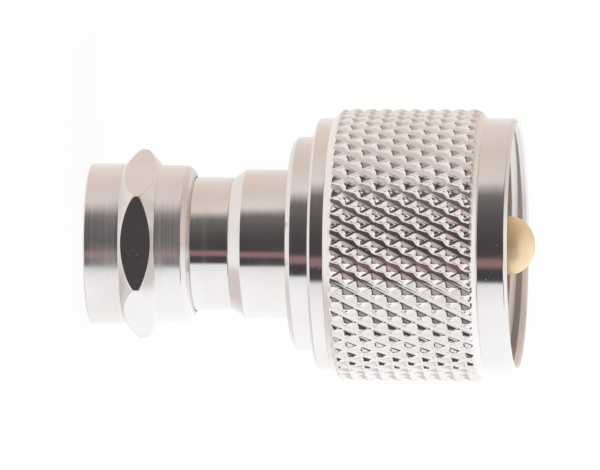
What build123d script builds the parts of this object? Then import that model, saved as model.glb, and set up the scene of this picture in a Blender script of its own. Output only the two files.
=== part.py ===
from build123d import *
from math import ceil, cos, pi, sin
import os

os.makedirs("parts", exist_ok=True)

# A coaxial adapter: a large threaded plug with a knurled coupling nut and a domed centre pin,
# and behind it a small threaded plug with a hexagon coupling nut.
# Z is the common axis. The small plug's mouth is at Z = 0 and the large plug opens upwards.

# Fits
running = 0.05  # radial gap between pieces that turn or slide on each other
end_play = 0.03  # axial gap beside a captive ring and under a seated nut
thread_gap = 0.02  # radial room outside a thread's major diameter

# Captive rings
ring_bite = 0.3  # how far each ring reaches into the body and into the nut
ring_opening = 1.2  # gap that lets a ring spring
large_ring_length = 0.8
large_ring_rear_land = 1.2  # nut bore behind the ring
large_ring_front_land = 0.79
small_ring_length = 0.5
small_ring_rear_land = 1.1
small_ring_front_land = 0.5  # body left in front of the ring's groove
coupling_travel = 1.2
hex_travel = 0.5

# Large coupling nut
large_thread_d = 15.875  # five eighths of an inch, 24 threads to the inch
knurl_wall = 1.1625  # from the thread's major diameter to the knurl's points
nut_collar_step = 0.64  # knurl over the rear collar
nut_collar_length = 1.06
nut_collar_chamfer = 0.16
nut_band_step = 0.59  # knurl over the front band
nut_band_length = 2.02
rim_chamfer_share = 0.4  # of the wall at the rim
rim_countersink_share = 0.45
thread_relief_length = 0.9
thread_relief_depth = 0.08

# Diamond knurl
knurl_depth = 0.3
knurl_length = 10.31
knurl_count = 52  # grooves of each hand
knurl_pitch = 1.98  # along the axis
knurl_phase = -0.75  # turn about the axis, in half pitches
knurl_rear_chamfer = 0.65
knurl_front_chamfer = 0.14

# Small coupling nut
small_thread_d = 9.525  # three eighths of an inch, 24 threads to the inch
front_collar_wall = 0.5875  # outside the thread's major diameter
front_collar_length = 2.38
hex_rise = 0.13  # flats over the front collar
hex_length = 2.36
hex_corner_land = 0.58  # what the bevels leave of the hexagon's length at its corners
rear_collar_step = 0.09  # front collar over the rear collar
rear_collar_length = 1.79
rear_bevel_share = 0.61  # of the wall round the rear bore
rear_bevel_length = 0.36
rear_face_share = 0.07
rear_lip_length = 0.2
mouth_chamfer = 0.2
mouth_edge_break = 0.06  # on the nut's outer edge at the mouth
thread_end_gap = 0.2  # from the thread's end to the body's shoulder

# Large body
boss_room = 1.3575  # from the nut's thread down to the journal the nut turns on
boss_front_length = 0.95  # journal left in front of the nut when it is forward
flange_step = 0.63  # over the journal
flange_length = 1.6
flange_chamfer = 0.3
sleeve_step = 0.54  # sleeve over the small body's barrel
sleeve_length = 3.26
cone_length = 0.83
web_length = 1.63  # wall between the insulators
web_step = 0.4
nose_step = 0.65  # journal over the nose
nose_length = 2.2
nose_wall = 1.4
nose_chamfer = 0.25
key_count = 4
key_width = 1.3
key_height = 0.5

# Small body
barrel_step = 0.3025  # the barrel's surface under the nut's thread diameter
barrel_visible = 2.56  # from the hexagon nut to the cone
spigot_step = 0.58
spigot_length = 2.8
spigot_wall = 1.3
small_nose_step = 1.03
small_nose_recess = 1.7  # behind the nut's mouth
small_nose_bore_depth = 1.6
small_lip_step = 0.6
small_lip_length = 0.5

# Insulators
retainer_recess = 0.9  # retaining ring's front behind the nose's front
retainer_length = 0.7
retainer_width = 0.95
insulator_step = 0.25  # insulator's centre stands this far out of the retaining ring

# Contacts
pin_r = 1.98
pin_dome_length = 1.75
pin_reach = 1.15  # tip beyond the seated nut's rim
stem_step = 0.58
stem_tail = 0.8  # stem standing out behind its insulator
tail_length = 2.8
tail_gap = 0.2  # hole deeper than the tail is long
small_pin_r = 0.8
small_pin_tip_chamfer = 0.3
small_pin_recess = 0.9
small_neck_step = 0.2
small_neck_length = 1.0
small_collar_step = 0.3
tail_step = 0.2

# Radii of the large end, from the thread outwards and inwards
large_thread_r = large_thread_d / 2 + thread_gap
knurl_r = large_thread_r + knurl_wall
knurl_root_r = knurl_r - knurl_depth
knurl_core_r = (large_thread_r + knurl_r - nut_collar_step) / 2
nut_collar_r = knurl_r - nut_collar_step
nut_band_r = knurl_r - nut_band_step
rim_wall = nut_band_r - large_thread_r
boss_r = large_thread_r - boss_room
large_bore_r = boss_r + running
flange_r = boss_r + flange_step
nose_r = boss_r - nose_step
insulator_r = nose_r - nose_wall
retainer_r = insulator_r - retainer_width

# Radii of the small end
small_thread_r = small_thread_d / 2 + thread_gap
front_collar_r = small_thread_r + front_collar_wall
rear_collar_r = front_collar_r - rear_collar_step
hex_flat_r = front_collar_r + hex_rise
hex_corner_r = hex_flat_r / cos(pi / 6)
barrel_r = small_thread_r - barrel_step
small_bore_r = barrel_r + running
rear_wall = rear_collar_r - small_bore_r
rear_bevel_r = rear_collar_r - rear_bevel_share * rear_wall
sleeve_r = barrel_r + sleeve_step
spigot_r = barrel_r - spigot_step
small_insulator_r = spigot_r - spigot_wall
small_lip_r = small_insulator_r - small_lip_step
web_bore_r = small_insulator_r - web_step
small_nose_r = barrel_r - small_nose_step
small_nose_bore_r = (small_nose_r + small_insulator_r) / 2
stem_r = pin_r - stem_step
small_neck_r = small_pin_r - small_neck_step
small_collar_r = small_pin_r + small_collar_step
tail_r = small_pin_r - tail_step

# Stations of the small nut and its ring
hex_z = front_collar_length
rear_collar_z = hex_z + hex_length
rear_bevel_z = rear_collar_z + rear_collar_length
rear_lip_z = rear_bevel_z + rear_bevel_length
hex_nut_top = rear_lip_z + rear_lip_length
small_ring_z = hex_nut_top - small_ring_rear_land - end_play - small_ring_length
small_groove_z = small_ring_z - hex_travel - end_play
shoulder_z = small_groove_z - small_ring_front_land
small_thread_length = shoulder_z - thread_end_gap

# Stations of the bodies and the large nut
nut_lip_length = large_ring_rear_land + large_ring_length + 2 * end_play + large_ring_front_land
cone_z = hex_nut_top + barrel_visible
sleeve_z = cone_z + cone_length
flange_z = sleeve_z + sleeve_length
boss_z = flange_z + flange_length
nut_z = boss_z + end_play
large_ring_z = nut_z + large_ring_rear_land + end_play
shoulder_top = nut_z + nut_lip_length + coupling_travel + boss_front_length
nose_top = shoulder_top + nose_length
knurl_z = nut_z + nut_collar_length
band_z = knurl_z + knurl_length
rim_z = band_z + nut_band_length

# Stations of the contacts and insulators
spigot_top = cone_z + spigot_length
insulator_z = spigot_top + web_length
retainer_z = nose_top - retainer_recess - retainer_length
pin_z = retainer_z + retainer_length + insulator_step
pin_top = rim_z + pin_reach
stem_z = insulator_z - stem_tail
small_lip_z = small_nose_recess + small_nose_bore_depth
small_insulator_z = small_lip_z + small_lip_length
small_collar_z = small_insulator_z + small_neck_length

up = (Align.CENTER, Align.CENTER, Align.MIN)


def turn(radius, z, length, mode=Mode.ADD):
    """A cylinder on the common axis that stands on height z."""
    with Locations((0, 0, z)):
        Cylinder(radius, length, align=up, mode=mode)


def taper(radius_low, radius_high, z, length, mode=Mode.ADD):
    """A cone frustum on the common axis that stands on height z."""
    with Locations((0, 0, z)):
        Cone(radius_low, radius_high, length, align=up, mode=mode)


def rims(part, z, radius):
    """The circular edges of one height and radius."""
    near = part.edges().filter_by(GeomType.CIRCLE).filter_by_position(Axis.Z, z - 0.01, z + 0.01)
    return near.filter_by(lambda edge: abs(edge.radius - radius) < 0.01)


# Small coupling nut: a hexagon with bevelled corners between two round collars
hex_bevel = (hex_length - hex_corner_land) / 2
with BuildPart() as hex_nut:
    with BuildSketch(Plane.XY.offset(hex_z)):
        RegularPolygon(hex_flat_r, 6, major_radius=False)
    extrude(amount=hex_length)
    with BuildSketch(Plane.XZ):
        with BuildLine():
            Polyline(
                (0, hex_z),
                (front_collar_r, hex_z),
                (hex_corner_r, hex_z + hex_bevel),
                (hex_corner_r, rear_collar_z - hex_bevel),
                (rear_collar_r, rear_collar_z),
                (0, rear_collar_z),
                close=True,
            )
        make_face()
    revolve(axis=Axis.Z, mode=Mode.INTERSECT)
    turn(front_collar_r, 0, front_collar_length)
    chamfer(rims(hex_nut, 0, front_collar_r), mouth_edge_break)
    turn(rear_collar_r, rear_collar_z, rear_collar_length)
    taper(rear_collar_r, rear_bevel_r, rear_bevel_z, rear_bevel_length)
    rear_face_r = small_bore_r + rear_face_share * rear_wall
    taper(rear_bevel_r, rear_face_r, rear_lip_z, rear_lip_length)
    turn(small_bore_r, 0, hex_nut_top, Mode.SUBTRACT)
    turn(small_thread_r, 0, small_thread_length, Mode.SUBTRACT)
    chamfer(rims(hex_nut, 0, small_thread_r), mouth_chamfer)
    turn(
        small_bore_r + ring_bite + running,
        small_ring_z - end_play,
        small_ring_length + 2 * end_play,
        Mode.SUBTRACT,
    )

# Knurl: two crossing helical sets of grooves leave rows of four-sided points.
# Points and groove crossings alternate round every ring and from ring to ring.
ring_step = knurl_pitch / 2
ring_count = ceil(knurl_length / ring_step)


def knurl_corner(ring, step):
    """A point of the knurl where ring and step are both even or both odd, a crossing elsewhere."""
    radius = knurl_r if (ring + step) % 2 == 0 else knurl_root_r
    angle = (step + knurl_phase) * pi / knurl_count
    return Vector(radius * cos(angle), radius * sin(angle), band_z - ring * ring_step)


knurl_faces = []
for ring in range(ring_count):
    for step in range(2 * knurl_count):
        high = knurl_corner(ring, step)
        high_next = knurl_corner(ring, step + 1)
        low = knurl_corner(ring + 1, step)
        low_next = knurl_corner(ring + 1, step + 1)
        # The fold runs from crossing to crossing, which is the floor of a groove.
        if (ring + step) % 2 == 0:
            triangles = ((high, low, high_next), (low, low_next, high_next))
        else:
            triangles = ((high, low_next, high_next), (high, low, low_next))
        for corners in triangles:
            knurl_faces.append(Face(Wire.make_polygon(corners, close=True)))
for ring in (0, ring_count):
    outline = [knurl_corner(ring, step) for step in range(2 * knurl_count)]
    knurl_faces.append(Face(Wire.make_polygon(outline, close=True)))
knurl_solid = Solid(Shell(knurl_faces))

# The knurled band: its rear end is bevelled down to the collar and its front edge is broken
with BuildPart() as knurl_band:
    add(knurl_solid)
    with BuildSketch(Plane.XZ):
        with BuildLine():
            Polyline(
                (knurl_core_r, knurl_z),
                (nut_collar_r, knurl_z),
                (knurl_r, knurl_z + knurl_rear_chamfer),
                (knurl_r, band_z - knurl_front_chamfer),
                (knurl_r - knurl_front_chamfer, band_z),
                (knurl_core_r, band_z),
                close=True,
            )
        make_face()
    revolve(axis=Axis.Z, mode=Mode.INTERSECT)

# Large coupling nut: a turned blank with the knurled band round its middle
with BuildPart() as coupling_nut:
    turn(nut_collar_r, nut_z, nut_collar_length)
    chamfer(rims(coupling_nut, nut_z, nut_collar_r), nut_collar_chamfer)
    turn(nut_band_r, band_z, nut_band_length)
    chamfer(rims(coupling_nut, rim_z, nut_band_r), rim_chamfer_share * rim_wall)
    turn(knurl_core_r, knurl_z, knurl_length)
    turn(large_bore_r, nut_z, nut_lip_length, Mode.SUBTRACT)
    turn(large_thread_r, nut_z + nut_lip_length, rim_z - nut_z - nut_lip_length, Mode.SUBTRACT)
    chamfer(rims(coupling_nut, rim_z, large_thread_r), rim_countersink_share * rim_wall)
    turn(
        large_thread_r + thread_relief_depth,
        nut_z + nut_lip_length,
        thread_relief_length,
        Mode.SUBTRACT,
    )
    turn(
        large_bore_r + ring_bite + running,
        large_ring_z - end_play,
        large_ring_length + 2 * end_play,
        Mode.SUBTRACT,
    )
    add(knurl_band.part)

# Captive rings: each fills a groove of its nut and slides in a wider groove of the body
with BuildPart() as coupling_snap_ring:
    with BuildSketch(Plane.XY.offset(large_ring_z)):
        Circle(large_bore_r + ring_bite)
        Circle(boss_r - ring_bite, mode=Mode.SUBTRACT)
        with Locations((0, boss_r)):
            Rectangle(ring_opening, boss_r, mode=Mode.SUBTRACT)
    extrude(amount=large_ring_length)

with BuildPart() as hex_snap_ring:
    with BuildSketch(Plane.XY.offset(small_ring_z)):
        Circle(small_bore_r + ring_bite)
        Circle(barrel_r - ring_bite, mode=Mode.SUBTRACT)
        with Locations((0, barrel_r)):
            Rectangle(ring_opening, barrel_r, mode=Mode.SUBTRACT)
    extrude(amount=small_ring_length)

# Large body: sleeve, flange, journal for the nut, and a nose with keys at its foot
with BuildPart() as uhf_body:
    taper(barrel_r, sleeve_r, cone_z, cone_length)
    turn(sleeve_r, sleeve_z, sleeve_length)
    turn(flange_r, flange_z, flange_length)
    chamfer(rims(uhf_body, flange_z, flange_r), flange_chamfer)
    turn(boss_r, boss_z, shoulder_top - boss_z)
    turn(nose_r, shoulder_top, nose_length)
    chamfer(rims(uhf_body, nose_top, nose_r), nose_chamfer)
    with BuildSketch(Plane.XY.offset(shoulder_top)):
        with PolarLocations(0, key_count):
            Rectangle(boss_r, key_width, align=(Align.MIN, Align.CENTER))
        Circle(boss_r, mode=Mode.INTERSECT)
    extrude(amount=key_height)
    turn(spigot_r, cone_z, spigot_length, Mode.SUBTRACT)
    turn(web_bore_r, cone_z, nose_top - cone_z, Mode.SUBTRACT)
    turn(insulator_r, insulator_z, nose_top - insulator_z, Mode.SUBTRACT)
    groove_length = large_ring_length + coupling_travel + 2 * end_play
    with BuildSketch(Plane.XY.offset(large_ring_z - end_play)):
        Circle(boss_r)
        Circle(boss_r - ring_bite - running, mode=Mode.SUBTRACT)
    extrude(amount=groove_length, mode=Mode.SUBTRACT)

# Small body: barrel, a spigot pressed into the large body, and a nose inside the nut
with BuildPart() as small_body:
    turn(small_nose_r, small_nose_recess, shoulder_z - small_nose_recess)
    chamfer(rims(small_body, small_nose_recess, small_nose_r), mouth_chamfer)
    turn(barrel_r, shoulder_z, cone_z - shoulder_z)
    turn(spigot_r, cone_z, spigot_length)
    turn(small_lip_r, small_lip_z, small_lip_length, Mode.SUBTRACT)
    turn(small_nose_bore_r, small_nose_recess, small_nose_bore_depth, Mode.SUBTRACT)
    turn(small_insulator_r, small_insulator_z, spigot_top - small_insulator_z, Mode.SUBTRACT)
    groove_length = small_ring_length + hex_travel + 2 * end_play
    with BuildSketch(Plane.XY.offset(small_groove_z)):
        Circle(barrel_r)
        Circle(barrel_r - ring_bite - running, mode=Mode.SUBTRACT)
    extrude(amount=groove_length, mode=Mode.SUBTRACT)

# Insulators, and the ring pressed in over the large one
with BuildPart() as uhf_insulator:
    turn(insulator_r, insulator_z, retainer_z - insulator_z)
    turn(retainer_r, retainer_z, pin_z - retainer_z)
    turn(stem_r, insulator_z, pin_z - insulator_z, Mode.SUBTRACT)

with BuildPart() as insulator_ring:
    turn(insulator_r, retainer_z, retainer_length)
    turn(retainer_r, retainer_z, retainer_length, Mode.SUBTRACT)

with BuildPart() as small_insulator:
    turn(small_insulator_r, small_insulator_z, spigot_top - small_insulator_z)
    turn(small_neck_r, small_insulator_z, small_neck_length, Mode.SUBTRACT)
    turn(small_collar_r, small_collar_z, spigot_top - small_collar_z, Mode.SUBTRACT)

# Centre contact of the large plug: domed pin, and a stem with a hole for the small pin's tail
with BuildPart() as uhf_pin:
    with BuildSketch(Plane.XZ):
        with Locations((0, pin_top - pin_dome_length)):
            Ellipse(pin_r, pin_dome_length)
            Rectangle(2 * pin_r, 2 * pin_dome_length, align=(Align.MAX, Align.CENTER), mode=Mode.SUBTRACT)
    revolve(axis=Axis.Z)
    turn(pin_r, pin_z, pin_top - pin_dome_length - pin_z)
    turn(stem_r, stem_z, pin_z - stem_z)
    turn(tail_r, stem_z, tail_length + tail_gap, Mode.SUBTRACT)

# Centre contact of the small plug, held by its collar behind the insulator's front wall
with BuildPart() as small_pin:
    turn(small_pin_r, small_pin_recess, small_insulator_z - small_pin_recess)
    chamfer(rims(small_pin, small_pin_recess, small_pin_r), small_pin_tip_chamfer)
    turn(small_neck_r, small_insulator_z, small_neck_length)
    turn(small_collar_r, small_collar_z, stem_z - small_collar_z)
    turn(tail_r, stem_z, tail_length)

hex_nut.part.label = "hex_nut"
export_step(hex_nut.part, "parts/hex_nut.step")
coupling_nut.part.label = "coupling_nut"
export_step(coupling_nut.part, "parts/coupling_nut.step")
coupling_snap_ring.part.label = "coupling_snap_ring"
export_step(coupling_snap_ring.part, "parts/coupling_snap_ring.step")
hex_snap_ring.part.label = "hex_snap_ring"
export_step(hex_snap_ring.part, "parts/hex_snap_ring.step")
uhf_body.part.label = "uhf_body"
export_step(uhf_body.part, "parts/uhf_body.step")
small_body.part.label = "small_body"
export_step(small_body.part, "parts/small_body.step")
uhf_insulator.part.label = "uhf_insulator"
export_step(uhf_insulator.part, "parts/uhf_insulator.step")
insulator_ring.part.label = "insulator_ring"
export_step(insulator_ring.part, "parts/insulator_ring.step")
small_insulator.part.label = "small_insulator"
export_step(small_insulator.part, "parts/small_insulator.step")
uhf_pin.part.label = "uhf_pin"
export_step(uhf_pin.part, "parts/uhf_pin.step")
small_pin.part.label = "small_pin"
export_step(small_pin.part, "parts/small_pin.step")
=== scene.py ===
# %% [markdown]
# # Dressing a coaxial adapter
# The object is a turned metal adapter. One end is a large threaded plug with a knurled coupling
# nut and a gold pin. The other end is a small threaded plug with a hexagon nut.
# Its solids come from the frame, in metres, standing on the small mouth with the axis along Z.
# This lesson gives each visible piece a finer surface with broken edges, a cut knurl and
# real threads, and then gives each surface its finish.

import math

import bmesh
import bpy
import numpy as np
from mathutils import Matrix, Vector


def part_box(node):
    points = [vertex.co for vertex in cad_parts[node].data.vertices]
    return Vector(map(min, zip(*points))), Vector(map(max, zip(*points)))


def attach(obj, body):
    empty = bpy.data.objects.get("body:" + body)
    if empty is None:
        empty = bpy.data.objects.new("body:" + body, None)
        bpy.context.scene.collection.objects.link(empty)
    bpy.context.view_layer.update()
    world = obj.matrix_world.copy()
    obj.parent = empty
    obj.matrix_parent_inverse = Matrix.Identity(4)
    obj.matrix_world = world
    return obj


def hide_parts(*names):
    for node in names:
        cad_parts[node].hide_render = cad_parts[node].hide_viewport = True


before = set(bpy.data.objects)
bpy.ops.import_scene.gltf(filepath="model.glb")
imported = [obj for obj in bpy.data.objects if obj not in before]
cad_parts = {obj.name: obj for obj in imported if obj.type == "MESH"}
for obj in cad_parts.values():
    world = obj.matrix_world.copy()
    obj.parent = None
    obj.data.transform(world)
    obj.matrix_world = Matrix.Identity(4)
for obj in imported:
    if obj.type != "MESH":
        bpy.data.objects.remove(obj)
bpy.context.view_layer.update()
mm = 0.001
print("frame nodes:", sorted(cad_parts))

# %% [markdown]
# ## Measures
# A turned part is drawn as an outline: radius against height. The ends of every piece are read
# from the frame, so each surface sits where its solid is. The steps between the ends are
# written here in millimetres, under the names a turner would use.

# %% Ends and radii read from the frame
def ends(node):
    """Lowest and highest height of a node, in millimetres."""
    low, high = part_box(node)
    return low.z / mm, high.z / mm


def radius_of(node):
    """Outer radius of a round node, in millimetres."""
    low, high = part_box(node)
    return (high.y - low.y) / 2 / mm


nut_rear, nut_rim = ends("coupling_nut")
hex_mouth, hex_rear = ends("hex_nut")
body_rear, nose_top = ends("uhf_body")
small_nose, spigot_top = ends("small_body")
insulator_rear, insulator_front = ends("uhf_insulator")
retainer_rear, retainer_front = ends("insulator_ring")
small_insulator_front, _ = ends("small_insulator")
stem_rear, pin_tip = ends("uhf_pin")
small_pin_tip, tail_end = ends("small_pin")
ring_rear, ring_front = ends("coupling_snap_ring")
small_ring_front, small_ring_rear = ends("hex_snap_ring")
flange_r = radius_of("uhf_body")
print(f"nut from {nut_rear:.2f} to {nut_rim:.2f} mm, pin tip at {pin_tip:.2f} mm")

# %% [markdown]
# ## A surface from a grid of points
# Every new piece is a grid. One parameter goes round the axis and the other goes along the
# outline. numpy computes all the points at once, and `foreach_set` hands them to the mesh.
# Blender's Screw modifier could turn an outline too, but a grid also takes a shape that changes
# on its way round, such as a hexagon or a knurl.
#
# A grid may hold points that fall on each other, at a pole of the axis for example. They are
# merged, and the faces are turned outwards.

# %% Grid to mesh
def build(name, points, faces):
    """A mesh object from points in millimetres and an array of faces with equal corner counts."""
    mesh = bpy.data.meshes.new(name)
    mesh.vertices.add(len(points))
    mesh.vertices.foreach_set("co", (points * mm).ravel())
    mesh.loops.add(faces.size)
    mesh.loops.foreach_set("vertex_index", faces.ravel())
    mesh.polygons.add(len(faces))
    mesh.polygons.foreach_set("loop_start", np.arange(0, faces.size, faces.shape[1]))
    mesh.update(calc_edges=True)
    clean = bmesh.new()
    clean.from_mesh(mesh)
    bmesh.ops.remove_doubles(clean, verts=clean.verts, dist=0.0001 * mm)
    bmesh.ops.recalc_face_normals(clean, faces=clean.faces)
    clean.to_mesh(mesh)
    clean.free()
    mesh.shade_smooth()
    thing = bpy.data.objects.new(name, mesh)
    bpy.context.scene.collection.objects.link(thing)
    return thing


def quads(rows, columns, wrap_rows=True, wrap_columns=True):
    """Corner numbers of the four-sided faces of a grid that may close on itself either way."""
    index = np.arange(rows * columns).reshape(rows, columns)
    if wrap_rows:
        index = np.vstack((index, index[:1]))
    if wrap_columns:
        index = np.hstack((index, index[:, :1]))
    corners = (index[:-1, :-1], index[1:, :-1], index[1:, 1:], index[:-1, 1:])
    return np.stack(corners, -1).reshape(-1, 4)


# %% [markdown]
# ## Broken edges
# No turned edge is perfectly sharp: the tool and the plating leave a tiny round that catches a
# line of light. Each corner of an outline becomes a short curve from one side to the other.
# One more point on each side holds the flat, so the smooth shading turns only at the corner.

# %% Rounding and turning outlines
arc = np.linspace(0, 1, 4)[:, None]
largest_share = 0.3
hold_reach = 1.6


def soften(outline, reach=0.035, closed=True):
    """Rounds the corners of outlines shaped (..., corners, 2).

    Each corner C becomes the curve (1-t)²A + 2t(1-t)C + t²B, where A and B lie the distance
    reach from C on its two sides, but not further than a share of the shorter side. A holding
    point lies a little further out on each side.
    """
    outline = np.asarray(outline, float)
    before = np.roll(outline, 1, -2) - outline
    after = np.roll(outline, -1, -2) - outline
    long_before = np.linalg.norm(before, axis=-1, keepdims=True)
    long_after = np.linalg.norm(after, axis=-1, keepdims=True)
    step = np.minimum(reach, largest_share * np.minimum(long_before, long_after))
    side_a = step * before / np.maximum(long_before, 1e-9)
    side_b = step * after / np.maximum(long_after, 1e-9)
    corner = outline[..., None, :]
    start, end = corner + side_a[..., None, :], corner + side_b[..., None, :]
    curve = (1 - arc) ** 2 * start + 2 * arc * (1 - arc) * corner + arc**2 * end
    hold_a = corner + hold_reach * side_a[..., None, :]
    hold_b = corner + hold_reach * side_b[..., None, :]
    soft = np.concatenate((hold_a, curve, hold_b), -2)
    if not closed:
        soft[..., 0, :, :] = outline[..., :1, :]
        soft[..., -1, :, :] = outline[..., -1:, :]
    return soft.reshape(*outline.shape[:-2], -1, 2)


around = np.linspace(0, 2 * math.pi, 240, endpoint=False)
print("a turned piece has", len(around), "columns of points")


def turned(name, outline, angles=around, closed=True):
    """Turns an outline round the axis: (radius, height) goes to (r cos a, r sin a, height)."""
    outline = np.asarray(outline, float)
    outline = np.broadcast_to(outline, (len(angles),) + outline.shape[-2:])
    spin = angles[:, None]
    points = np.stack(
        (outline[..., 0] * np.cos(spin), outline[..., 0] * np.sin(spin), outline[..., 1]), -1
    )
    faces = quads(*points.shape[:2], wrap_columns=closed)
    return build(name, points.reshape(-1, 3), faces)


# %% [markdown]
# ## Nodes for the finishes
# A finish is a small tree of nodes. Every pattern reads Object coordinates, which are the
# frame's own metres, so marks keep their size on every piece and stay put in every view.

# %% Helpers for node trees
def add(tree, kind, settings=None, inputs=None):
    """Adds a node. Settings are its options.

    Inputs are values, or outputs to link, by the socket's name or number.
    """
    made = tree.nodes.new(kind)
    for key, value in (settings or {}).items():
        setattr(made, key, value)
    for key, value in (inputs or {}).items():
        if isinstance(value, bpy.types.NodeSocket):
            tree.links.new(value, made.inputs[key])
        else:
            made.inputs[key].default_value = value
    return made


def math_node(tree, operation, first, second=0.0):
    """The result of one sum."""
    return add(tree, "ShaderNodeMath", {"operation": operation}, {0: first, 1: second}).outputs[0]


def ranged(tree, value, low, high, to_low=0.0, to_high=1.0, smooth=False):
    """Maps low..high to to_low..to_high and holds the ends."""
    settings = {"interpolation_type": "SMOOTHSTEP" if smooth else "LINEAR"}
    inputs = {"Value": value, "From Min": low, "From Max": high}
    inputs.update({"To Min": to_low, "To Max": to_high})
    return add(tree, "ShaderNodeMapRange", settings, inputs).outputs["Result"]


def blend_colours(tree, factor, first, second):
    """A colour between two others."""
    made = add(tree, "ShaderNodeMix", {"data_type": "RGBA"})
    for socket, value in ((0, factor), (6, first), (7, second)):
        if isinstance(value, bpy.types.NodeSocket):
            tree.links.new(value, made.inputs[socket])
        else:
            made.inputs[socket].default_value = value
    return made.outputs[2]


def blend_values(tree, factor, first, second):
    """A number between two others."""
    return add(tree, "ShaderNodeMix", None, {0: factor, 2: first, 3: second}).outputs[0]


def noise(tree, vector, scale, detail=2.0, roughness=0.5):
    """Soft random values from 0 to 1, scale times a metre."""
    inputs = {"Vector": vector, "Scale": scale, "Detail": detail, "Roughness": roughness}
    return add(tree, "ShaderNodeTexNoise", None, inputs).outputs["Fac"]


def start_finish(name, metallic):
    """A new material with its shader, and the place and the distance from the axis as outputs."""
    finish = bpy.data.materials.new(name)
    finish.use_nodes = True
    tree = finish.node_tree
    shader = tree.nodes["Principled BSDF"]
    shader.inputs["Metallic"].default_value = metallic
    place = add(tree, "ShaderNodeTexCoord").outputs["Object"]
    parts = add(tree, "ShaderNodeSeparateXYZ", None, {0: place}).outputs
    squares = math_node(tree, "ADD", math_node(tree, "MULTIPLY", parts[0], parts[0]),
                        math_node(tree, "MULTIPLY", parts[1], parts[1]))
    from_axis = math_node(tree, "SQRT", squares)
    return finish, tree, shader, place, parts[2], from_axis


# %% [markdown]
# ## Nickel plate
# The turned pieces are bright nickel over brass. Three things keep it from looking like a
# perfect mirror: rings left by the cutting tool, a slow change in how bright the plate is, and
# tiny pits. The rings read only the distance from the axis and the height, so they go round
# every cylinder and face as tool marks do.
#
# Three pieces need a little more. The knurl's grooves hold dirt and painted shade, the hexagon's
# flats were milled so their marks run along the axis, and the plate deep in a threaded hole is
# duller.
# Each is a mask made from the place alone: a distance from the axis, or from one of six flats.

# %% Sizes of the marks
micron = 0.000001
ring_marks = 14000
wide_ring_marks = 3200
mill_marks = 7000
pit_marks = 3600
patch_marks = 420
cloud_marks = 260
grain_marks = 9000
soft_ring_marks = 11000
soft_grain_marks = 16000
soft_cloud_marks = 900
resin_cloud_marks = 700
sawn_marks = 9000
print(f"finest marks {1 / ring_marks / mm:.3f} mm apart, pits {1 / pit_marks / mm:.2f} mm")


# %% Masks for the knurl's dirt and painted shade, and the hexagon's flats
def grime_and_shade_mask(tree, from_axis, height, grain, grime_and_shade):
    """Dirt and painted shade: strongest on the floors of the grooves and 0 where it has gone,
    speckled by the grain.
    """
    floors, gone, lowest, highest = grime_and_shade
    margin = 0.1 * mm
    deep = ranged(tree, from_axis, floors, gone, 1.0, 0.0, smooth=True)
    deep = math_node(tree, "MULTIPLY", deep, ranged(tree, height, lowest, lowest + margin))
    deep = math_node(tree, "MULTIPLY", deep, ranged(tree, height, highest, highest - margin))
    return math_node(tree, "MULTIPLY", deep, ranged(tree, grain, 0.3, 0.6, 0.05, 0.3))


def flat_marks(tree, place, height, from_axis, flats):
    """A mask that is 1 on six flats round the axis, and mill marks that run along the axis.

    The bearing is turned back into one sixth of a turn. The distance out to a flat is the
    radius times the cosine of what is left, and the way along the flat is the radius times its
    sine.
    """
    parts = add(tree, "ShaderNodeSeparateXYZ", None, {0: place}).outputs
    sixth = math.pi / 3
    turn = math_node(tree, "ARCTAN2", parts[1], parts[0])
    turn = math_node(tree, "FLOORED_MODULO", turn, sixth)
    turn = math_node(tree, "SUBTRACT", turn, sixth / 2)
    outward = math_node(tree, "MULTIPLY", from_axis, math_node(tree, "COSINE", turn))
    sideways = math_node(tree, "MULTIPLY", from_axis, math_node(tree, "SINE", turn))
    on_flat = ranged(tree, outward, flats - 10 * micron, flats - 4 * micron)
    stretched = math_node(tree, "MULTIPLY", height, 0.04)
    mill_place = add(tree, "ShaderNodeCombineXYZ", None, {0: sideways, 1: stretched}).outputs[0]
    mill = noise(tree, mill_place, mill_marks, 3.0, 0.7)
    return on_flat, math_node(tree, "MULTIPLY", mill, 2.5)


# %% The nickel recipe
# Colour of the knurl's groove floors: partly dirt, partly painted shade.
grime_and_shade_colour = (0.62, 0.55, 0.51, 1)
bore_colour = (0.72, 0.67, 0.64, 1)
bore_roughness = 0.34
warm_shift = (0.965, 0.95, 0.94)


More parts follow.
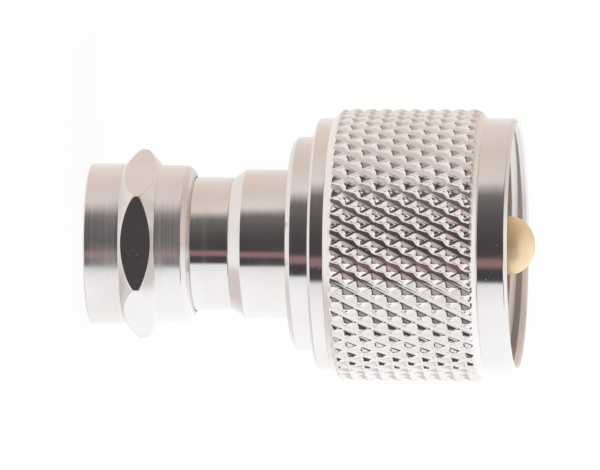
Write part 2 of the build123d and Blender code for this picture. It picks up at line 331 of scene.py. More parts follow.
def nickel(name, roughness, ring_depth, colour=(0.885, 0.868, 0.862, 1),
           grime_and_shade=None, pits=0.5, flats=None, bore=None):
    """Bright plate with turning rings of ring_depth metres.

    grime is the radius of the groove floors, the radius where the dirt and painted shade have gone,
    and their lowest and highest height. flats is the distance of six milled flats from the axis.
    Nearer the axis than bore the plate is duller.
    """
    finish, tree, shader, place, height, from_axis = start_finish(name, 1.0)
    ring_place = add(tree, "ShaderNodeCombineXYZ", None, {0: from_axis, 2: height}).outputs[0]
    rings = noise(tree, ring_place, ring_marks, 3.0, 0.6)
    wide_rings = noise(tree, ring_place, wide_ring_marks, 1.0)
    cloud = noise(tree, place, cloud_marks, 3.0)
    grain = noise(tree, place, grain_marks, 2.0)
    spots = add(tree, "ShaderNodeTexVoronoi", None, {"Vector": place, "Scale": pit_marks})
    patches = ranged(tree, noise(tree, place, patch_marks, 2.0), 0.5, 0.72)
    pit = math_node(tree, "MULTIPLY", ranged(tree, spots.outputs["Distance"], 0.17, 0.07), patches)
    dull = ranged(tree, cloud, 0.35, 0.7, roughness * 0.75, roughness * 1.35)
    dull = math_node(tree, "ADD", dull, ranged(tree, wide_rings, 0.55, 0.75, 0.0, roughness * 0.4))
    dull = math_node(tree, "ADD", dull, math_node(tree, "MULTIPLY", pit, 0.25))
    warmer = tuple(part * shift for part, shift in zip(colour, warm_shift)) + (1,)
    tint = blend_colours(tree, ranged(tree, cloud, 0.4, 0.65), colour, warmer)
    # The knurl's groove floors turn darker: partly dirt, partly painted shade.
    if grime_and_shade:
        deep = grime_and_shade_mask(tree, from_axis, height, grain, grime_and_shade)
        tint = blend_colours(tree, deep, tint, grime_and_shade_colour)
        dull = math_node(tree, "ADD", dull, math_node(tree, "MULTIPLY", deep, 0.06))
    if flats:
        on_flat, mill = flat_marks(tree, place, height, from_axis, flats)
        rings = blend_values(tree, on_flat, rings, mill)
        wide_rings = blend_values(tree, on_flat, wide_rings, 0.5)
        dull = blend_values(tree, on_flat, dull, roughness * 0.4)
    if bore:
        inside = ranged(tree, from_axis, bore, bore - 40 * micron)
        tint = blend_colours(tree, math_node(tree, "MULTIPLY", inside, 0.6), tint, bore_colour)
        dull = blend_values(tree, inside, dull, bore_roughness)
    tree.links.new(tint, shader.inputs["Base Color"])
    tree.links.new(dull, shader.inputs["Roughness"])
    ring_bump = add(tree, "ShaderNodeBump", None, {"Height": rings, "Distance": ring_depth})
    wide_bump = add(tree, "ShaderNodeBump", None, {
        "Height": wide_rings, "Distance": ring_depth * 2.0, "Normal": ring_bump.outputs[0]})
    pit_bump = add(tree, "ShaderNodeBump", {"invert": True}, {
        "Height": pit, "Distance": 6 * micron * pits, "Normal": wide_bump.outputs[0]})
    tree.links.new(pit_bump.outputs[0], shader.inputs["Normal"])
    return finish


hex_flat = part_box("hex_nut")[1].y
# Radii and heights of the knurl's dirt and painted shade.
knurl_grime_and_shade = (8.88 * mm, 8.93 * mm, 16.9 * mm, 26.3 * mm)
nickel_body = nickel("nickel_body", 0.10, 1.0 * micron)
nickel_nut = nickel("nickel_nut", 0.09, 1.0 * micron, bore=8.15 * mm)
nickel_hex = nickel("nickel_hex", 0.20, 2.2 * micron, flats=hex_flat, bore=4.8 * mm)
# The knurl is the same nickel as the rest, given a lighter colour as a painted highlight.
nickel_knurl = nickel("nickel_knurl", 0.10, 0.0, (0.94, 0.92, 0.91, 1), grime_and_shade=knurl_grime_and_shade, pits=0.8)
print("nickel finishes:", nickel_body.name, nickel_nut.name, nickel_hex.name, nickel_knurl.name)

# %% [markdown]
# ## Gold, plated brass and bronze
# The large pin is gold plated, which is softer and more satin than the nickel. The ring over the
# large insulator is plated brass, and the captive rings are spring bronze. All three are one
# recipe with other colours, so the same marks of the lathe show on each of them.

# %% Gold plate, plated brass and spring bronze
def soft_metal(name, colour, shade, roughness, ring_depth, metallic=1.0):
    """A plated or bare coloured metal with fine rings and cloudy dullness."""
    finish, tree, shader, place, height, from_axis = start_finish(name, metallic)
    ring_place = add(tree, "ShaderNodeCombineXYZ", None, {0: from_axis, 2: height}).outputs[0]
    rings = noise(tree, ring_place, soft_ring_marks, 3.0, 0.6)
    cloud = noise(tree, place, soft_cloud_marks, 3.0)
    tint = blend_colours(tree, ranged(tree, cloud, 0.35, 0.7), colour, shade)
    dull = ranged(tree, cloud, 0.3, 0.7, roughness * 0.8, roughness * 1.3)
    tree.links.new(tint, shader.inputs["Base Color"])
    tree.links.new(dull, shader.inputs["Roughness"])
    bump = add(tree, "ShaderNodeBump", None, {"Height": rings, "Distance": ring_depth})
    grain = add(tree, "ShaderNodeBump", None, {
        "Height": noise(tree, place, soft_grain_marks, 2.0), "Distance": ring_depth * 0.6,
        "Normal": bump.outputs[0]})
    tree.links.new(grain.outputs[0], shader.inputs["Normal"])
    return finish


gold = soft_metal(
    "gold_plate", (1.0, 0.81, 0.54, 1), (1.0, 0.77, 0.49, 1), 0.42, 0.6 * micron, metallic=0.85)
brass = soft_metal("plated_ring", (0.86, 0.83, 0.80, 1), (0.80, 0.76, 0.72, 1), 0.20, 0.8 * micron)
bronze = soft_metal("bronze_wire", (0.72, 0.45, 0.28, 1), (0.60, 0.36, 0.22, 1), 0.28, 0.8 * micron)
print("soft metals:", gold.name, brass.name, bronze.name)


# %% [markdown]
# ## White resin
# Light goes a little way into the insulators before it comes out again. Subsurface scattering
# does that for a solid plastic. A plain white paint would look like chalk.

# %% White resin
def resin(name):
    """Waxy white plastic with faint mottling and a fine sawn grain."""
    finish, tree, shader, place, height, from_axis = start_finish(name, 0.0)
    ring_place = add(tree, "ShaderNodeCombineXYZ", None, {0: from_axis, 2: height}).outputs[0]
    cloud = noise(tree, place, resin_cloud_marks, 4.0)
    mottling = ranged(tree, cloud, 0.35, 0.7)
    tint = blend_colours(tree, mottling, (0.84, 0.82, 0.78, 1), (0.76, 0.73, 0.68, 1))
    tree.links.new(tint, shader.inputs["Base Color"])
    tree.links.new(ranged(tree, cloud, 0.3, 0.7, 0.38, 0.55), shader.inputs["Roughness"])
    shader.inputs["Subsurface Weight"].default_value = 0.25
    shader.inputs["Subsurface Radius"].default_value = (1.0 * mm, 0.8 * mm, 0.7 * mm)
    shader.inputs["Subsurface Scale"].default_value = 1.0
    sawn = noise(tree, ring_place, sawn_marks, 3.0)
    bump = add(tree, "ShaderNodeBump", None, {"Height": sawn, "Distance": 3 * micron})
    tree.links.new(bump.outputs[0], shader.inputs["Normal"])
    return finish


white_resin = resin("white_resin")
print("insulators:", white_resin.name)


# %% [markdown]
# ## Joining the object
# A new piece stands for one of the solids, so it has to move as that solid does: it rides on the
# same body. Parenting each piece by hand would do the same, with more to forget.

# %% A piece joins the object
def fit(thing, body, slot, finish, *nodes):
    """Gives a new piece its finish and its place in the motion, and hides the solids it stands for.
    """
    thing.data.materials.append(finish)
    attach(thing, body)
    if nodes:
        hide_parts(*nodes)
    triangles = sum(len(face.vertices) - 2 for face in thing.data.polygons)
    print(f"{thing.name}: {triangles} triangles on {body}")
    return thing


# %% [markdown]
# ## The large coupling nut
# The nut is a turned shell: a plain collar at the rear, the knurled band, and a plain band at
# the rim. Its rear lip turns on the body, and a groove in the lip holds the captive ring.
# The shell is one closed outline, walked from the rear bore outwards, along to the rim, and
# back through the bore.

# %% The nut's shell
knurl_top_r = radius_of("coupling_nut") - 0.005
nut_collar_r = knurl_top_r - 0.635
nut_band_r = knurl_top_r - 0.585
nut_edge = 0.16
thread_r = 7.9575
lip_bore_r = 6.65
collar_length = 1.06
rim_band_length = 2.02
lip_length = 2.85
knurl_rear = nut_rear + collar_length
knurl_front = nut_rim - rim_band_length
under_knurl_r = 8.2
knurl_overlap = 0.02
recess_slope = 0.1
rim_chamfer = 0.22
countersink = 0.26
countersink_length = 0.4
relief_length = 0.9
relief_depth = 0.08
ring_groove_depth = 0.35
ring_room = 0.03
thread_rear = nut_rear + lip_length + relief_length

nut_outline = [
    (lip_bore_r, nut_rear),
    (nut_collar_r - nut_edge, nut_rear),
    (nut_collar_r, nut_rear + nut_edge),
    (nut_collar_r, knurl_rear + knurl_overlap),
    (under_knurl_r, knurl_rear + recess_slope),
    (under_knurl_r, knurl_front - recess_slope),
    (nut_band_r, knurl_front - knurl_overlap),
    (nut_band_r, nut_rim - rim_chamfer),
    (nut_band_r - rim_chamfer, nut_rim),
    (thread_r + countersink, nut_rim),
    (thread_r, nut_rim - countersink_length),
    (thread_r, thread_rear),
    (thread_r + relief_depth, thread_rear - relief_depth),
    (thread_r + relief_depth, nut_rear + lip_length),
    (lip_bore_r, nut_rear + lip_length),
    (lip_bore_r, ring_front + ring_room),
    (lip_bore_r + ring_groove_depth, ring_front + ring_room),
    (lip_bore_r + ring_groove_depth, ring_rear - ring_room),
    (lip_bore_r, ring_rear - ring_room),
]
nut_shell = turned("coupling_nut_shell", soften(nut_outline))
fit(nut_shell, "coupling", "nickel_knurled", nickel_nut, "coupling_nut")

# %% [markdown]
# ## The knurl
# A diamond knurl is two sets of helical grooves, one of each hand, cut into a plain cylinder.
# What stands between them is a row of four-sided points with tiny flat tops.
#
# A displacement texture would only fake it. Here the radius itself is computed on a grid of
# angle and height: the lower of the two groove profiles. Both grooves run exactly along the
# diagonals of the grid's cells, so each cell is split along the groove that cuts it, and
# every ridge stays straight.

# %% Measures of the knurl
grooves = 52
groove_pitch = 1.98
cells = 16
first_point = -0.375
point_flat = 1.6 / cells
main_root_r = knurl_top_r - 0.245
main_floor_cells = 1.6
main_hollow = 1.15
main_track = 0.015
shelf_cells = 3.6
shelf_narrowing = 1.5
shelf_rise = 0.008
cross_root_r = knurl_top_r - 0.22
cross_floor_cells = 0.4
cross_widening_cells = 0.6
cross_hollow = 1.2
cross_track = 0.025
rear_bevel_length = 0.65
front_bevel_length = 0.6
print(f"a groove every {2 * math.pi * knurl_top_r / grooves:.2f} mm round the knurl")


# %% Heights of the knurl
def climb(from_middle, floor_half, hollow):
    """The flank's share of the groove's depth.

    It is 0 on the floor and 1 on the flat top. Between them it is the share of the way across,
    raised to the power hollow.
    """
    return np.clip((from_middle - floor_half) / (0.5 - floor_half - point_flat), 0, 1) ** hollow


def main_groove(main_count, cross_count):
    """Radius across a groove of the first set. Counts are whole numbers on ridges.

    One side of the floor is a wide shelf that rises a little outwards. Its width follows the
    cosine of the other set's count, raised to a power, so it is nothing where the other grooves
    cross. The tool leaves a fine ridge along the middle of the floor.
    """
    side = main_count - np.floor(main_count) - 0.5
    shelf = np.where(side < 0, np.abs(np.cos(math.pi * cross_count)) ** shelf_narrowing, 0)
    floor_half = (main_floor_cells + shelf_cells * shelf) / cells
    rise = shelf_rise * shelf * np.clip(np.abs(side) / floor_half, 0, 1)
    track = main_track * np.clip(1 - np.abs(side) * cells, 0, 1)
    depth = knurl_top_r - main_root_r - shelf_rise * shelf
    return main_root_r + rise + track + depth * climb(np.abs(side), floor_half, main_hollow)


def cross_groove(main_count, cross_count):
    """Radius across a groove of the second set. Its floor widens between the other grooves.

    The widening follows the square of the cosine of the other set's count. A fine ridge is left
    along its middle.
    """
    from_middle = np.abs(cross_count - np.floor(cross_count) - 0.5)
    wide = np.cos(math.pi * main_count) ** 2
    floor_half = (cross_floor_cells + cross_widening_cells * wide) / cells
    track = cross_track * wide * np.clip(1 - from_middle * cells, 0, 1)
    depth = knurl_top_r - cross_root_r
    return cross_root_r + track + depth * climb(from_middle, floor_half, cross_hollow)


column = np.arange(grooves * cells)
turn_count = column / cells
row_count = math.ceil((knurl_front - knurl_rear) / groove_pitch * cells)
row_height = knurl_front - np.arange(row_count + 1) * groove_pitch / cells
row_height = np.maximum(row_height, knurl_rear)
drop = (knurl_front - row_height) / groove_pitch
main_count = turn_count[:, None] + drop
cross_count = turn_count[:, None] - drop
main = main_groove(main_count, cross_count)
cross = cross_groove(main_count, cross_count)
rear_step = knurl_top_r - nut_collar_r
rear_limit = nut_collar_r + (row_height - knurl_rear) * rear_step / rear_bevel_length
front_step = knurl_top_r - nut_band_r
front_limit = nut_band_r + (knurl_front - row_height) * front_step / front_bevel_length
knurl_radius = np.minimum(np.minimum(main, cross), np.minimum(rear_limit, front_limit))
print("knurl grid", knurl_radius.shape)
print(f"knurl radius {knurl_radius.min():.3f} to {knurl_radius.max():.3f} mm")

# %% The knurl's mesh
knurl_angle = (turn_count + first_point) * 2 * math.pi / grooves
inner_rows = np.array([knurl_rear, knurl_front])
radius_rows = np.hstack((knurl_radius, np.full((len(column), 2), under_knurl_r)))
height_rows = np.concatenate((row_height, inner_rows))
knurl_points = np.stack(
    (
        radius_rows * np.cos(knurl_angle)[:, None],
        radius_rows * np.sin(knurl_angle)[:, None],
        np.broadcast_to(height_rows, radius_rows.shape),
    ),
    -1,
).reshape(-1, 3)
corner = quads(*radius_rows.shape)

middle_main = main_count[:, :-1] + 1 / cells
middle_cross = cross_count[:, :-1]
main_is_lower = main_groove(middle_main, middle_cross) < cross_groove(middle_main, middle_cross)
split_main = np.zeros(radius_rows.shape, bool)
split_main[:, :row_count] = main_is_lower
split_main = split_main.ravel()[:, None]
first_half = np.where(split_main, corner[:, [0, 1, 3]], corner[:, [0, 1, 2]])
second_half = np.where(split_main, corner[:, [1, 2, 3]], corner[:, [0, 2, 3]])
knurl = build("coupling_nut_knurl", knurl_points, np.vstack((first_half, second_half)))
sharp_angle = math.radians(50)
knurl.data.set_sharp_from_angle(angle=sharp_angle)
fit(knurl, "coupling", "nickel_knurled", nickel_knurl, "coupling_nut")

# %% [markdown]
# ## Threads
# A thread is one ridge wound inside the nut. Its cross-section is carried along a helix:
# the height climbs one pitch for each turn. The ridge shrinks to nothing at both ends, as a
# thread does where the tool enters and leaves.

# %% Threads inside the nuts
thread_pitch = 25.4 / 24
thread_depth = 0.54127 * thread_pitch
root_half = 0.4375 * thread_pitch
crest_half = 0.125 * thread_pitch
thread_soft = 0.05
buried = 0.04
run_out = 0.6 * math.pi
steps_per_turn = 120


def thread(name, root_r, start, stop):
    """A ridge along (r cos a, r sin a, start + pitch a / 2 pi), with sides 60 degrees apart.

    Its section is scaled by the share of the run-out that has passed, raised to 0.6, from each
    end. Its foot is buried in the shell by a little.
    """
    turns = (stop - start) / thread_pitch
    angle = np.linspace(0, 2 * math.pi * turns, int(steps_per_turn * turns))
    grown = np.clip(np.minimum(angle, angle[-1] - angle) / run_out, 0, 1) ** 0.6
    foot_r, crest_r = root_r + buried, root_r - thread_depth
    section = soften([
        (foot_r, -root_half),
        (root_r + 0.002, -root_half),
        (crest_r, -crest_half),
        (crest_r, crest_half),
        (root_r + 0.002, root_half),
        (foot_r, root_half),
    ], reach=thread_soft)
    radius = foot_r + (section[:, 0] - foot_r) * grown[:, None]
    climbed = thread_pitch * angle[:, None] / (2 * math.pi)
    height = start + climbed + section[:, 1] * grown[:, None]
    around_x, around_y = np.cos(angle)[:, None], np.sin(angle)[:, None]
    points = np.stack((radius * around_x, radius * around_y, height), -1)
    return build(name, points.reshape(-1, 3), quads(*points.shape[:2], wrap_rows=False))


large_thread_from = thread_rear - 0.3
large_thread_to = nut_rim - 0.5
large_thread = thread("coupling_nut_thread", thread_r, large_thread_from, large_thread_to)
fit(large_thread, "coupling", "nickel_knurled", nickel_nut)

# %% [markdown]
# ## The hexagon nut
# The small nut starts as a hexagon bar. Both ends are turned round, and a bevel on each side
# cuts the corners back, so each flat is left with a pointed oval outline.
#
# The outline changes on its way round: at each angle the bar's radius is the flat's distance
# divided by the cosine of the angle from the middle of that flat, and the bevels stop where
# they meet it. The tips of the hexagon are rounded more than the other edges.

# %% The hexagon's outlines
collar_r = 5.37
rear_collar_r = 5.28
flat_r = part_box("hex_nut")[1].y / mm
corner_r = flat_r / math.cos(math.pi / 6)
hexagon_start = 2.38
hexagon_end = 4.74
bevel_length = 0.89
mouth_break = 0.06
small_thread_r = 4.7825
small_bore_r = 4.53
rear_lip_r = 5.03
rear_lip_z = hex_rear - 0.2
rear_bevel_z = rear_lip_z - 0.36
rear_end_r = 4.5825
mouth_countersink = 0.2
mouth_countersink_length = 0.4
tip_flat = 0.015
corner_soft = 0.15
corner_fade = 6
plain_soft = 0.03
small_ring_travel = 0.5
small_groove_z = small_ring_front - small_ring_travel - ring_room
shoulder_z = small_groove_z - 0.5
small_thread_end = shoulder_z - 0.2

near_corner = np.radians([30, 29.75, 29.4, 28.8])
across_flat = np.radians(np.linspace(-28, 28, 29))
sector = np.concatenate((-near_corner, across_flat, near_corner[:0:-1]))
hex_angle = np.concatenate([sector + math.radians(30 + 60 * k) for k in range(6)])
from_flat = np.tile(sector, 6)
bar_r = np.minimum(flat_r / np.cos(from_flat), corner_r - tip_flat)
front_out = (bar_r - collar_r) / (corner_r - collar_r)
rear_out = (bar_r - rear_collar_r) / (corner_r - rear_collar_r)

hex_corners = [
    (small_thread_r + mouth_countersink, hex_mouth),
    (collar_r - mouth_break, hex_mouth),
    (collar_r, hex_mouth + mouth_break),
    (collar_r, hexagon_start),
    (0, 0),
    (0, 0),
    (rear_collar_r, hexagon_end),
    (rear_collar_r, rear_bevel_z),
    (rear_lip_r, rear_lip_z),
    (rear_end_r, hex_rear),
    (small_bore_r, hex_rear),
    (small_bore_r, small_ring_rear + ring_room),
    (small_bore_r + ring_groove_depth, small_ring_rear + ring_room),
    (small_bore_r + ring_groove_depth, small_ring_front - ring_room),
    (small_bore_r, small_ring_front - ring_room),
    (small_bore_r, small_thread_end),
    (small_thread_r, small_thread_end),
    (small_thread_r, hex_mouth + mouth_countersink_length),
    (small_thread_r, hex_mouth + mouth_countersink),
]
hex_outline = np.empty((len(hex_angle), len(hex_corners), 2))
hex_outline[:] = hex_corners
hex_outline[:, 4, 0] = bar_r
hex_outline[:, 5, 0] = bar_r
hex_outline[:, 4, 1] = hexagon_start + bevel_length * front_out
hex_outline[:, 5, 1] = hexagon_end - bevel_length * rear_out
corner_reach = np.full((len(hex_angle), len(hex_corners), 1), plain_soft)
corner_reach[:, 4:6, 0] += corner_soft * front_out[:, None] ** corner_fade
hex_shell = turned("hex_nut_shell", soften(hex_outline, reach=corner_reach), angles=hex_angle)
fit(hex_shell, "hexagon", "nickel_hex", nickel_hex, "hex_nut")

small_thread_from = 0.35
small_thread_to = small_thread_end - 0.45
small_thread = thread("hex_nut_thread", small_thread_r, small_thread_from, small_thread_to)
fit(small_thread, "hexagon", "nickel_hex", nickel_hex)

# %% [markdown]
# ## The two bodies
# The large body carries the sleeve, the flange and the journal that the nut turns on. Four
# small keys stand at the foot of its nose, to lock into the mating socket. The small body is
# the barrel between them, with a spigot pressed into the large body.

# %% The large body
journal_r = 6.6
nose_r = 5.95
nose_foot = nose_top - 2.2
sleeve_r = 5.02
barrel_r = 4.48
spigot_r = 3.9
insulator_r = 4.55
web_bore_r = 2.2
cone_top = body_rear + 0.83
flange_z = cone_top + 3.26
journal_z = flange_z + 1.6
flange_edge = 0.3
nose_edge = 0.25
ring_travel_length = 2.06
ring_seat_z = ring_rear - ring_room
ring_seat_end = ring_seat_z + ring_travel_length
key_height = 0.5
key_half_angle = 0.65 / 6.3
key_slope = 0.03

key_edges = np.array([-1.12, -1.03, -1.0, -0.97, 0.97, 1.0, 1.03, 1.12]) * key_half_angle
body_angle = np.sort(np.concatenate(
    [around] + [key_edges + k * math.pi / 2 for k in range(4)])) % (2 * math.pi)
body_angle = np.unique(np.round(body_angle, 6))
from_key = np.abs((body_angle + math.pi / 4) % (math.pi / 2) - math.pi / 4)
inside_key = (1 + key_slope / 2) * key_half_angle - from_key
key_rise = key_height * np.clip(inside_key / (key_slope * key_half_angle), 0, 1)

body_corners = [
    (spigot_r, body_rear),
    (barrel_r, body_rear),
    (sleeve_r, cone_top),
    (sleeve_r, flange_z),
    (flange_r - flange_edge, flange_z),
    (flange_r, flange_z + flange_edge),
    (flange_r, journal_z),
    (journal_r, journal_z),
    (journal_r, ring_seat_z),
    (journal_r - ring_groove_depth, ring_seat_z),
    (journal_r - ring_groove_depth, ring_seat_end),
    (journal_r, ring_seat_end),
    (journal_r, nose_foot),
    (nose_r, nose_foot),
    (nose_r, nose_top - nose_edge),
    (nose_r - nose_edge, nose_top),
    (insulator_r, nose_top),
    (insulator_r, insulator_rear),
    (web_bore_r, insulator_rear),
    (web_bore_r, spigot_top),
    (spigot_r, spigot_top),
]
body_outline = np.empty((len(body_angle), len(body_corners), 2))
body_outline[:] = body_corners
body_outline[:, 12:14, 1] += key_rise[:, None]
uhf_body = turned("uhf_body_shell", soften(body_outline), angles=body_angle)
fit(uhf_body, "body", "nickel_body", nickel_body, "uhf_body")

# %% The small body
small_nose_r = 3.45
small_nose_edge = 0.2
small_socket_r = 3.025
small_insulator_r = 2.6
small_web_r = 2.0
small_web_length = 0.5
small_body_outline = [
    (small_socket_r, small_nose),
    (small_nose_r - small_nose_edge, small_nose),
    (small_nose_r, small_nose + small_nose_edge),
    (small_nose_r, shoulder_z),
    (barrel_r, shoulder_z),
    (barrel_r, small_groove_z),
    (barrel_r - ring_groove_depth, small_groove_z),
    (barrel_r - ring_groove_depth, small_ring_rear + ring_room),
    (barrel_r, small_ring_rear + ring_room),
    (barrel_r, body_rear),
    (spigot_r, body_rear),
    (spigot_r, spigot_top),
    (small_insulator_r, spigot_top),
    (small_insulator_r, small_insulator_front),
    (small_web_r, small_insulator_front),
    (small_web_r, small_insulator_front - small_web_length),
    (small_socket_r, small_insulator_front - small_web_length),
]
small_body = turned("small_body_shell", soften(small_body_outline))
fit(small_body, "body", "nickel_body", nickel_body, "small_body")

# %% [markdown]
# ## Pins and insulators
# The large pin ends in a half ellipse, so it finds the mating socket. The small pin has a bevelled
# tip. Both run from pole to pole of their own outline, so their grids close at the axis.
# Each insulator is a plain turned plug around its pin.

# %% The large pin
pin_r = 1.98
stem_r = 1.4
tail_r = 0.6
tail_hole_length = 3.0
dome_length = 1.75
dome_foot = pin_tip - dome_length
quarter = np.linspace(0, math.pi / 2, 28)
dome = np.stack((pin_r * np.cos(quarter), dome_foot + dome_length * np.sin(quarter)), -1)
pin_foot = soften([
    (0, stem_rear + tail_hole_length),
    (tail_r, stem_rear + tail_hole_length),
    (tail_r, stem_rear),
    (stem_r, stem_rear),
    (stem_r, insulator_front),
    (pin_r, insulator_front),
    (pin_r, dome_foot - 0.5),
], closed=False)
uhf_pin = turned("uhf_pin_gold", np.vstack((pin_foot, dome)), closed=False)
fit(uhf_pin, "body", "gold_contact", gold, "uhf_pin")

# %% The small pin
contact_r = 0.8
contact_tip_r = 0.5
contact_bevel = 0.3
neck_r = 0.6
neck_end = small_insulator_front + 1.0
core_r = 1.1
small_pin = turned("small_pin_gold", soften([
    (0, small_pin_tip),
    (contact_tip_r, small_pin_tip),
    (contact_r, small_pin_tip + contact_bevel),
    (contact_r, small_insulator_front),
    (neck_r, small_insulator_front),
    (neck_r, neck_end),
    (core_r, neck_end),
    (core_r, stem_rear),
    (tail_r, stem_rear),
    (tail_r, tail_end),
    (0, tail_end),
], closed=False), closed=False)
fit(small_pin, "body", "gold_contact", gold, "small_pin")

# %% The insulators and the ring that holds the large one
retainer_r = 3.6
large_insulator = turned("uhf_insulator_resin", soften([
    (stem_r, insulator_rear),
    (insulator_r, insulator_rear),
    (insulator_r, retainer_rear),
    (retainer_r, retainer_rear),
    (retainer_r, insulator_front),
    (stem_r, insulator_front),
]))
fit(large_insulator, "body", "insulator", white_resin, "uhf_insulator")
retaining_ring = turned("insulator_ring_plated", soften([
    (retainer_r, retainer_rear),
    (insulator_r, retainer_rear),
    (insulator_r, retainer_front),
    (retainer_r, retainer_front),
]))
fit(retaining_ring, "body", "brass_ring", brass, "insulator_ring")
small_insulator = turned("small_insulator_resin", soften([
    (neck_r, small_insulator_front),
    (small_insulator_r, small_insulator_front),
    (small_insulator_r, spigot_top),
    (core_r, spigot_top),
    (core_r, neck_end),
    (neck_r, neck_end),
]))
fit(small_insulator, "body", "insulator", white_resin, "small_insulator")

# %% [markdown]
# ## The captive rings
# Two open rings of springy wire hold the nuts on. Nothing of them is seen from outside, so they
# keep their solids and only get a bronze finish.

# %% The captive rings keep their solids
for ring in ("coupling_snap_ring", "hex_snap_ring"):
    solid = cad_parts[ring]
    solid.data.materials.clear()
    solid.data.materials.append(bronze)
    print(ring, "has the finish", bronze.name)

# %% [markdown]
# ## The studio
# Bright metal shows its surroundings more than itself, so the surroundings are designed.
# They are a pale tent: warm on one side, white on the other, with a dark opening where the camera
# looks in. The world's shader draws them from the direction alone, so they stay still when
# the camera moves. The background that the camera sees is plain white.
#
# Lamps and cards could stand round the object instead, but then each edge in a reflection
# depends on where the card stands. Here each band of height has its own colours by bearing:
# the opening at the middle, its upper part, the roof above and the wall below. The opening's
# left edge leans, a dull red strip stands in it, and straight up and down is one plain colour.

# %% Surroundings
world = bpy.data.worlds.new("tent")
bpy.context.scene.world = world
world.use_nodes = True
sky = world.node_tree
sky.nodes.clear()
toward = add(sky, "ShaderNodeTexCoord").outputs["Generated"]
across, along, upward = add(sky, "ShaderNodeSeparateXYZ", None, {0: toward}).outputs
bearing = math_node(sky, "ARCTAN2", across, math_node(sky, "MULTIPLY", along, -1.0))
elevation = math_node(sky, "ARCSINE", upward)


def sky_ramp(angle, stops):
    """Colours by an angle in radians, from pairs of degrees and colour."""
    turn = ranged(sky, angle, -math.pi, math.pi)
    ramp = add(sky, "ShaderNodeValToRGB", None, {0: turn})
    bar = ramp.color_ramp
    while len(bar.elements) < len(stops):
        bar.elements.new(0.5)
    for element, (degrees, colour) in zip(bar.elements, sorted(stops)):
        element.position = (degrees + 180) / 360
        element.color = (*colour, 1)
    return ramp.outputs[0]


def fade(angle, start, end):
    """0 before the first of two angles in degrees and 1 beyond the second."""
    return ranged(sky, angle, math.radians(start), math.radians(end), smooth=True)


warm = (0.745, 0.635, 0.57)
white = (1.02, 1.02, 1.03)
red_strip = (0.31, 0.18, 0.18, 1)
edge_slant = 1.8
lean_from = math.radians(-30)
level_below = math.radians(6.0)
lean = ranged(sky, bearing, lean_from, 0.0, edge_slant, 0.0)
from_level = math_node(sky, "ADD", elevation, level_below)
slanted = math_node(sky, "ADD", bearing, math_node(sky, "MULTIPLY", from_level, lean))
opening = sky_ramp(slanted, [
    (-180, (0.90, 0.88, 0.87)),
    (-152, (0.88, 0.83, 0.82)),
    (-132, (0.825, 0.73, 0.665)),
    (-112, (0.78, 0.68, 0.615)),
    (-92, warm),
    (-72, (0.77, 0.68, 0.64)),
    (-59, (0.79, 0.72, 0.69)),
    (-45, (0.17, 0.155, 0.155)),
    (-22, (0.10, 0.09, 0.09)),
    (-4, (0.068, 0.060, 0.062)),
    (8, (0.066, 0.058, 0.06)),
    (24, (0.06, 0.055, 0.062)),
    (33, (0.055, 0.055, 0.062)),
    (36, (0.86, 0.86, 0.88)),
    (52, (0.98, 0.97, 0.99)),
    (75, white),
    (170, (1.06, 1.07, 1.08)),
])
upper_opening = sky_ramp(bearing, [
    (-180, (0.86, 0.80, 0.77)),
    (-120, (0.72, 0.62, 0.56)),
    (-92, (0.62, 0.53, 0.48)),
    (-62, (0.48, 0.42, 0.39)),
    (-30, (0.40, 0.36, 0.35)),
    (-8, (0.34, 0.31, 0.31)),
    (-1, (0.06, 0.055, 0.06)),
    (16, (0.05, 0.05, 0.055)),
    (21, (0.88, 0.88, 0.90)),
    (33, (0.92, 0.92, 0.94)),
    (37, (0.07, 0.07, 0.075)),
    (60, (0.07, 0.07, 0.075)),
    (66, white),
    (170, (1.06, 1.07, 1.08)),
])
over = fade(elevation, 6, 14)
opening = blend_colours(sky, over, opening, upper_opening)
strip_across = math_node(sky, "MULTIPLY", fade(bearing, 9, 15), fade(bearing, 23, 18))
strip_along = math_node(sky, "MULTIPLY", fade(elevation, -20, -14), fade(elevation, 8, 2))
strip = math_node(sky, "MULTIPLY", strip_across, strip_along)
opening = blend_colours(sky, strip, opening, red_strip)
roof = sky_ramp(bearing, [
    (-180, (0.86, 0.80, 0.77)),
    (-90, (0.76, 0.66, 0.60)),
    (-30, (0.76, 0.66, 0.60)),
    (-6, (0.80, 0.70, 0.62)),
    (2, (0.70, 0.60, 0.53)),
    (14, (0.95, 0.94, 0.93)),
    (60, white),
    (170, white),
])
wall = sky_ramp(bearing, [
    (-180, (0.92, 0.89, 0.87)),
    (-120, (0.88, 0.84, 0.81)),
    (-70, (0.90, 0.85, 0.82)),
    (-40, (0.84, 0.79, 0.77)),
    (0, (0.88, 0.86, 0.86)),
    (40, (0.95, 0.93, 0.93)),
    (60, (0.95, 0.93, 0.93)),
    (80, (0.72, 0.66, 0.645)),
    (128, (0.72, 0.67, 0.655)),
    (148, (0.88, 0.86, 0.86)),
    (165, white),
])
ceiling = (0.93, 0.91, 0.90, 1)
above = fade(elevation, 44, 54)
below = fade(elevation, -9, -16)
seen = blend_colours(sky, above, opening, roof)
seen = blend_colours(sky, below, seen, wall)
high = fade(math_node(sky, "ABSOLUTE", elevation), 62, 80)
seen = blend_colours(sky, high, seen, ceiling)
light_path = add(sky, "ShaderNodeLightPath")
shown = blend_colours(sky, light_path.outputs["Is Camera Ray"], seen, (1, 1, 1, 1))
background = add(sky, "ShaderNodeBackground", None, {"Color": shown, "Strength": 1.0})
add(sky, "ShaderNodeOutputWorld", None, {"Surface": background.outputs[0]})
print(world.name, "is drawn by", len(sky.nodes), "nodes")

# %% [markdown]
# ## Floor
# The adapter stands on a pale floor. To the camera the floor is white, with a little of its
# true shade left in, so a soft shadow stays under the object. The real adapter lay on its side
# when it was photographed, so no floor stood across its reflections: the floor is left out of
# glossy rays.

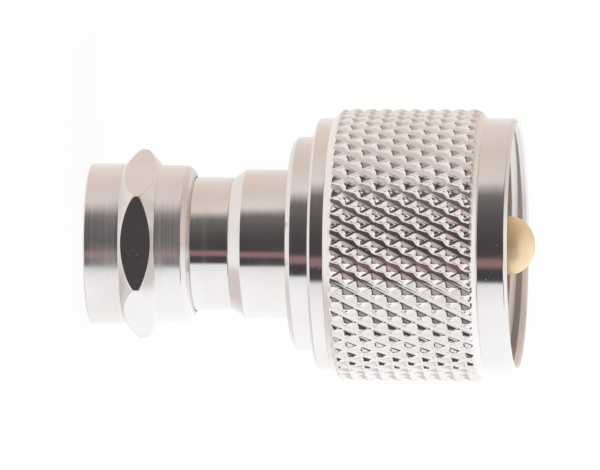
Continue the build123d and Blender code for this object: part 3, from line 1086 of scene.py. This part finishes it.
# %% Floor
floor_reach = 3.0
paper_white = (0.93, 0.93, 0.93, 1)
glow_strength = 1.05
glow_share = 0.85
floor_signs = ((-1, -1), (1, -1), (1, 1), (-1, 1))
floor_corners = [(x * floor_reach, y * floor_reach, 0) for x, y in floor_signs]
floor_mesh = bpy.data.meshes.new("floor")
floor_mesh.from_pydata(floor_corners, [], [(0, 1, 2, 3)])
floor = bpy.data.objects.new("floor", floor_mesh)
bpy.context.scene.collection.objects.link(floor)
floor_finish = bpy.data.materials.new("pale_floor")
floor_finish.use_nodes = True
floor_tree = floor_finish.node_tree
floor_tree.nodes.clear()
paper = add(floor_tree, "ShaderNodeBsdfDiffuse", None, {"Color": paper_white})
glow = add(floor_tree, "ShaderNodeEmission", None, {
    "Color": (1, 1, 1, 1), "Strength": glow_strength})
rays = add(floor_tree, "ShaderNodeLightPath").outputs
through = math_node(floor_tree, "MAXIMUM", rays["Is Glossy Ray"], rays["Is Transmission Ray"])
seen_ray = math_node(floor_tree, "MAXIMUM", rays["Is Camera Ray"], through)
share = math_node(floor_tree, "MULTIPLY", seen_ray, glow_share)
floor_mix = add(floor_tree, "ShaderNodeMixShader", None, {
    0: share, 1: paper.outputs[0], 2: glow.outputs[0]})
add(floor_tree, "ShaderNodeOutputMaterial", None, {0: floor_mix.outputs[0]})
floor_mesh.materials.append(floor_finish)
floor.visible_glossy = False
print("floor", 2 * floor_reach, "m across, out of glossy rays")

# %% [markdown]
# ## Camera
# The photograph was taken from far off, a little raised, with the axis almost level across the
# picture. The camera is placed the same way: its lens is worked out from the pixels that one
# millimetre covers, and its own axes are written into its matrix, so it needs no target object.

# %% Camera
view_raise = math.radians(6.0)
view_roll = math.radians(0.285)
camera_distance = 1.0
pixels_per_mm = 14.89
image_width = 600
sensor = 36.0
axis_row, axis_column_at_mouth, image_rows = 244.4, 91.8, 470

camera_data = bpy.data.cameras.new("camera")
camera_data.sensor_width = sensor
camera_data.lens = pixels_per_mm * camera_distance / mm * sensor / image_width
camera_data.clip_start, camera_data.clip_end = 0.05, 20.0
camera = bpy.data.objects.new("camera", camera_data)
bpy.context.scene.collection.objects.link(camera)
bpy.context.scene.camera = camera

back = np.array([0, -math.cos(view_raise), math.sin(view_raise)])
right = np.array([0, math.sin(view_raise), math.cos(view_raise)])
top = np.cross(back, right)
right_rolled = math.cos(view_roll) * right + math.sin(view_roll) * top
top_rolled = np.cross(back, right_rolled)
middle_z = (image_width / 2 - axis_column_at_mouth) / (pixels_per_mm * math.cos(view_raise))
middle_x = -(axis_row - image_rows / 2) / pixels_per_mm
target = np.array([middle_x, 0, middle_z]) * mm
place = target + back * camera_distance
pose = np.eye(4)
pose[:3, 0], pose[:3, 1], pose[:3, 2], pose[:3, 3] = right_rolled, top_rolled, back, place
camera.matrix_world = Matrix(pose.tolist())
bpy.context.scene.view_settings.view_transform = "Standard"
print("camera at", place, "lens", camera_data.lens)
